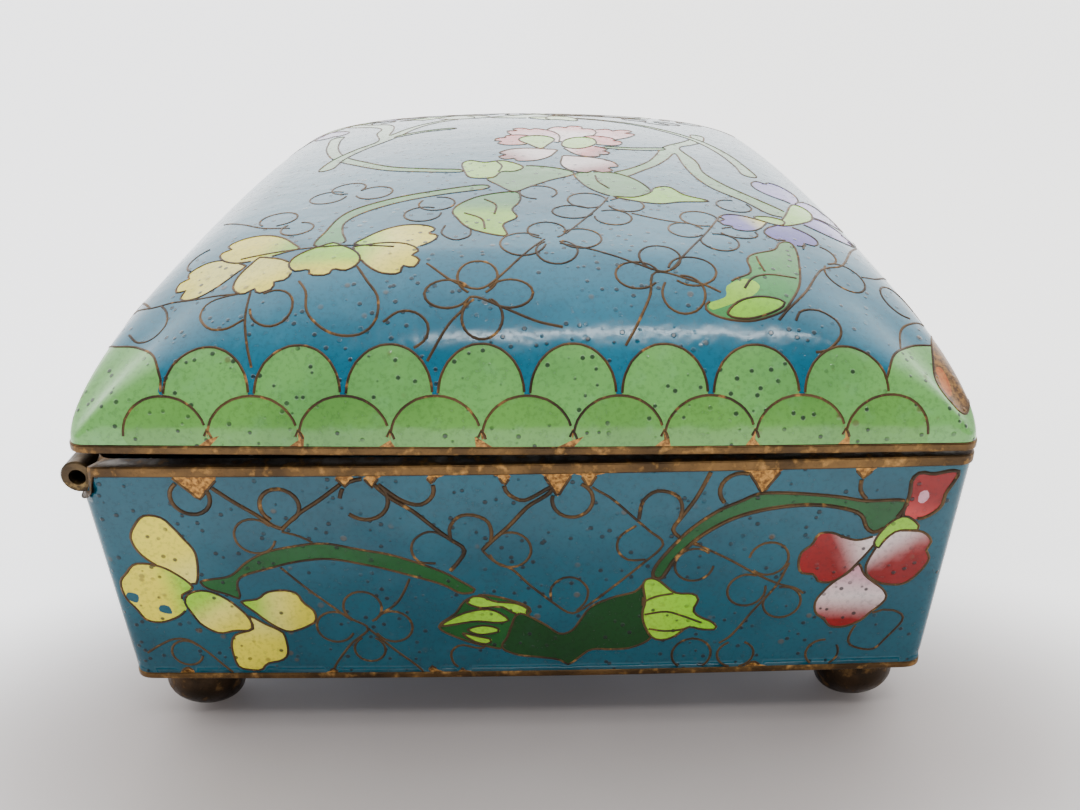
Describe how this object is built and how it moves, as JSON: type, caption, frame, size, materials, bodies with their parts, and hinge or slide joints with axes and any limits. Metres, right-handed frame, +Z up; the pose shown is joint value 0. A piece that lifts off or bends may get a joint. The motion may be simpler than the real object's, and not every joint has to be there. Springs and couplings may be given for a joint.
{
  "type": "hinged cloisonne enamel box",
  "caption": "Footed enamelled trinket box: a tapering hollow tray with a pillow-shaped hollow lid on a barrel hinge.",
  "frame": {"origin": "on the standing plane, under the middle of the box's outline", "axes": "+X from the hinge to the opening side, +Y along the hinge, +Z up"},
  "size_m": [0.0808, 0.1002, 0.0494],
  "materials": {
    "enamel": "glossy turquoise-blue cloisonne enamel with green scale borders, flowers and brass wires",
    "brass_band": "worn, toned brass with brighter edges",
    "hinge_brass": "dark brown, toned brass",
    "foot_brass": "near-black toned brass, a little bright where it is rubbed"
  },
  "bodies": {
    "tray": {"tray_body": "enamel", "tray_mouth_band": "brass_band", "tray_bottom_band": "brass_band", "tray_hinge": "hinge_brass", "hinge_pin": "hinge_brass", "foot_back_near": "foot_brass", "foot_back_far": "foot_brass", "foot_front_near": "foot_brass", "foot_front_far": "foot_brass"},
    "lid": {"lid_shell": "enamel", "lid_band": "brass_band", "lid_hinge": "hinge_brass"}
  },
  "joints": [
    {"name": "lid_swing", "type": "hinge", "parent": "tray", "child": "lid", "pos_m": [-0.03885, 0, 0.0289], "axis": [0, -1, 0], "range_deg": [0, 105]}
  ]
}
